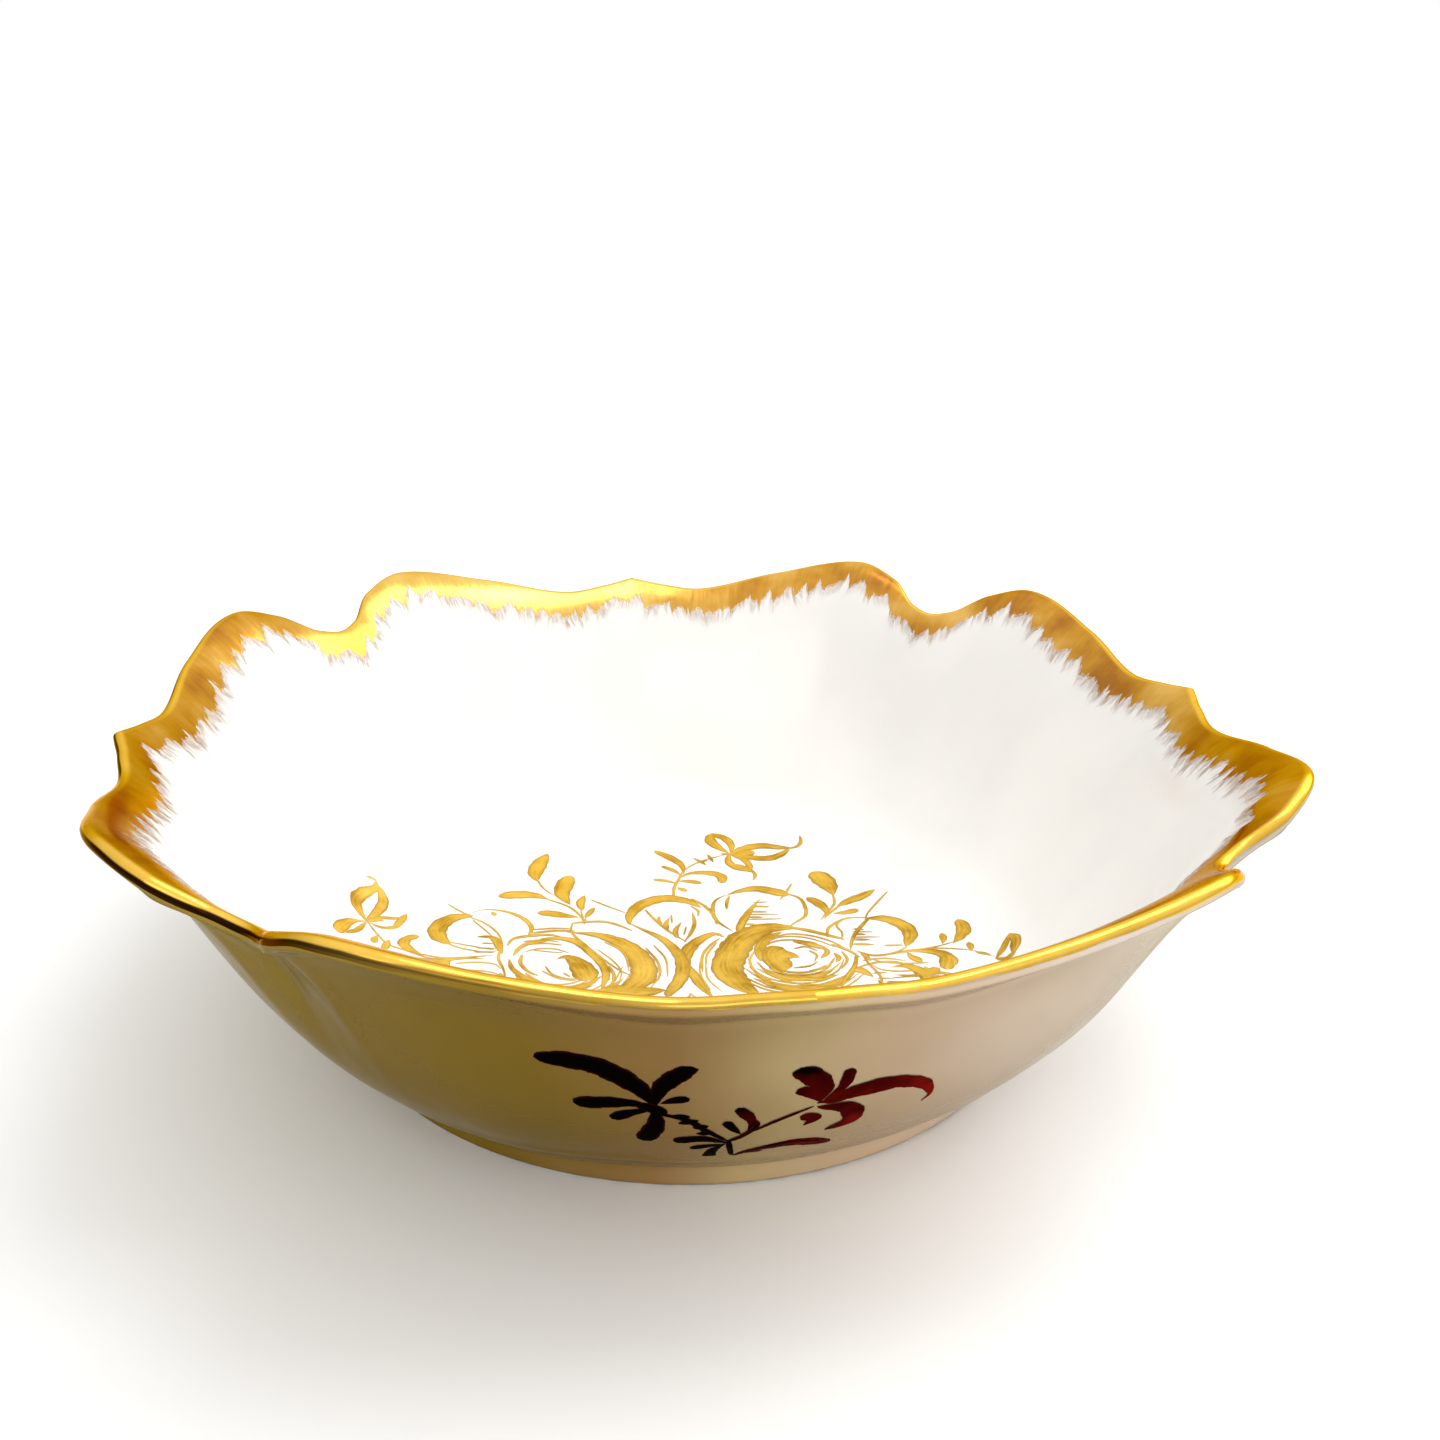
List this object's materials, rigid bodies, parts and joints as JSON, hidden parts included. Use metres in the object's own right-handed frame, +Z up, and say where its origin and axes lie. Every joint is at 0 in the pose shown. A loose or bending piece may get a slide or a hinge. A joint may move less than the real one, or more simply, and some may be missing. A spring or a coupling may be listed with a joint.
{
  "type": "footed salad bowl",
  "caption": "Footed porcelain salad bowl with a lobed wavy rim, a feathered gilt rim band, a gilt flower bouquet inside and a dark gilt sprig outside.",
  "frame": {"origin": "middle of the foot's bottom face, on the table", "axes": "+Z up; the four small cusps of the rim are on +X, -X, +Y and -Y; the decorated side that faces the user is -Y"},
  "size_m": [0.2464, 0.2464, 0.0755],
  "materials": {
    "porcelain_glaze": "high-gloss clear glaze over white porcelain",
    "foot_porcelain": "gloss glaze, bottom edge wiped bare before firing",
    "rim_gold": "burnished bright gold, brushed by hand with a feathered inner edge",
    "painted_gold": "hand-painted matt gold strokes",
    "sprig_gilt": "dark red-brown gilt seen in shade, painted strokes"
  },
  "bodies": {
    "root": {"blossom_far_left": "painted_gold", "blossom_far_right": "painted_gold", "blossom_left": "painted_gold", "blossom_right": "painted_gold", "bowl_shell": "porcelain_glaze", "centre_petal_left": "painted_gold", "centre_petal_right": "painted_gold", "foot_ring": "foot_porcelain", "near_blossom_far_left": "painted_gold", "near_blossom_far_right": "painted_gold", "near_blossom_left": "painted_gold", "near_blossom_right": "painted_gold", "near_spray_centre": "painted_gold", "near_spray_left": "painted_gold", "near_spray_right": "painted_gold", "rim_gilt_band": "rim_gold", "rose_left": "painted_gold", "rose_right": "painted_gold", "spray_centre": "painted_gold", "spray_far_left": "painted_gold", "spray_far_right": "painted_gold", "spray_left": "painted_gold", "spray_right": "painted_gold", "sprig_back": "sprig_gilt", "sprig_front": "sprig_gilt"}
  },
  "joints": []
}
